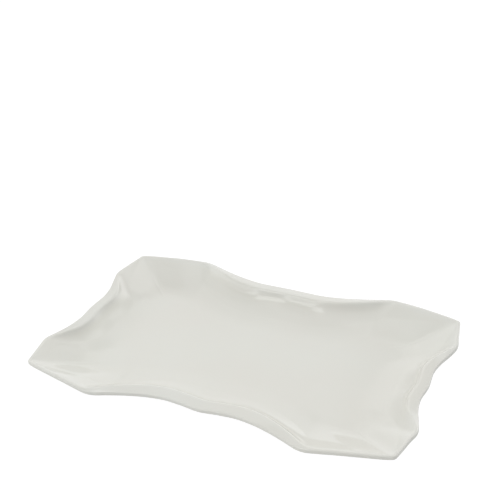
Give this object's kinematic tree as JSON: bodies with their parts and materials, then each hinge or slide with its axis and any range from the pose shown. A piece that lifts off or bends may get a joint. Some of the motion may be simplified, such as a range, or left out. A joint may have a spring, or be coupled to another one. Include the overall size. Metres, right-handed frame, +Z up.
{
  "type": "serving platter",
  "caption": "Long white glazed porcelain serving platter with a wavy rolled rim, raised corner tips and a low foot ring.",
  "frame": {"origin": "on the table surface, in the middle of the foot ring and of the whole platter", "axes": "+X along the platter's length, +Y across its width, +Z up out of the floor"},
  "size_m": [0.4212, 0.29, 0.0274],
  "materials": {
    "bare_porcelain": "unglazed fired porcelain, ground smooth and matt at the foot",
    "white_glaze": "glossy transparent glaze over warm white porcelain"
  },
  "bodies": {
    "root": {"platter_body": "bare_porcelain", "glaze_coat": "white_glaze", "glaze_recess": "white_glaze"}
  },
  "joints": []
}
